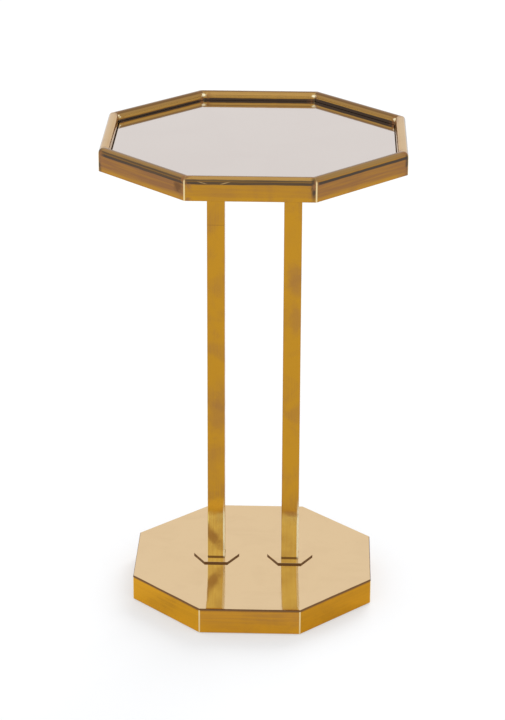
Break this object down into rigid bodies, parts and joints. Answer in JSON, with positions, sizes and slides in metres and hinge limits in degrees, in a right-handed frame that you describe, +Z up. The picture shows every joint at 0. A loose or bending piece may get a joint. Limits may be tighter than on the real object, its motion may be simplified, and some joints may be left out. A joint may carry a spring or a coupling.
{
  "type": "tray table",
  "caption": "Octagonal brass tray table: a mirror inside a raised round-edged rim, on square legs with hexagonal collars over a weighted octagonal base.",
  "frame": {"origin": "on the floor under the middle of the base", "axes": "+Z up, -Y the front that the picture shows, +X to the right with the legs side by side along X"},
  "size_m": [0.334, 0.334, 0.55],
  "materials": {
    "rim_brass": "polished, with mitred and brazed corners",
    "leg_brass": "polished, with faint draw marks along the tube",
    "plate_brass": "mirror polished",
    "skirt_brass": "polished, with mitred and brazed corners",
    "mirror_glass": "silvered clear glass",
    "foam": "thin closed-cell foam sheet",
    "plywood": "sanded birch plywood",
    "steel": "zinc-plated fasteners and fittings",
    "ballast_iron": "mill scale",
    "felt": "glued wool felt"
  },
  "bodies": {
    "root": {"rim_rail_right": "rim_brass", "rim_rail_back_right": "rim_brass", "rim_rail_back": "rim_brass", "rim_rail_back_left": "rim_brass", "rim_rail_left": "rim_brass", "rim_rail_front_left": "rim_brass", "rim_rail_front": "rim_brass", "rim_rail_front_right": "rim_brass", "mirror_panel": "mirror_glass", "mirror_bed": "foam", "deck_board": "plywood", "ledge_screws": "steel", "top_flange_left": "leg_brass", "top_flange_right": "leg_brass", "flange_screws": "steel", "leg_left": "leg_brass", "leg_right": "leg_brass", "leg_plug_left": "steel", "leg_plug_right": "steel", "collar_left": "plate_brass", "collar_right": "plate_brass", "base_top_plate": "plate_brass", "base_skirt_right": "skirt_brass", "base_skirt_back_right": "skirt_brass", "base_skirt_back": "skirt_brass", "base_skirt_back_left": "skirt_brass", "base_skirt_left": "skirt_brass", "base_skirt_front_left": "skirt_brass", "base_skirt_front": "skirt_brass", "base_skirt_front_right": "skirt_brass", "ballast_plate": "ballast_iron", "leg_bolts": "steel", "leg_washers": "steel", "board_standoffs": "steel", "bottom_board": "plywood", "board_screws": "steel", "base_felt": "felt"}
  },
  "joints": []
}
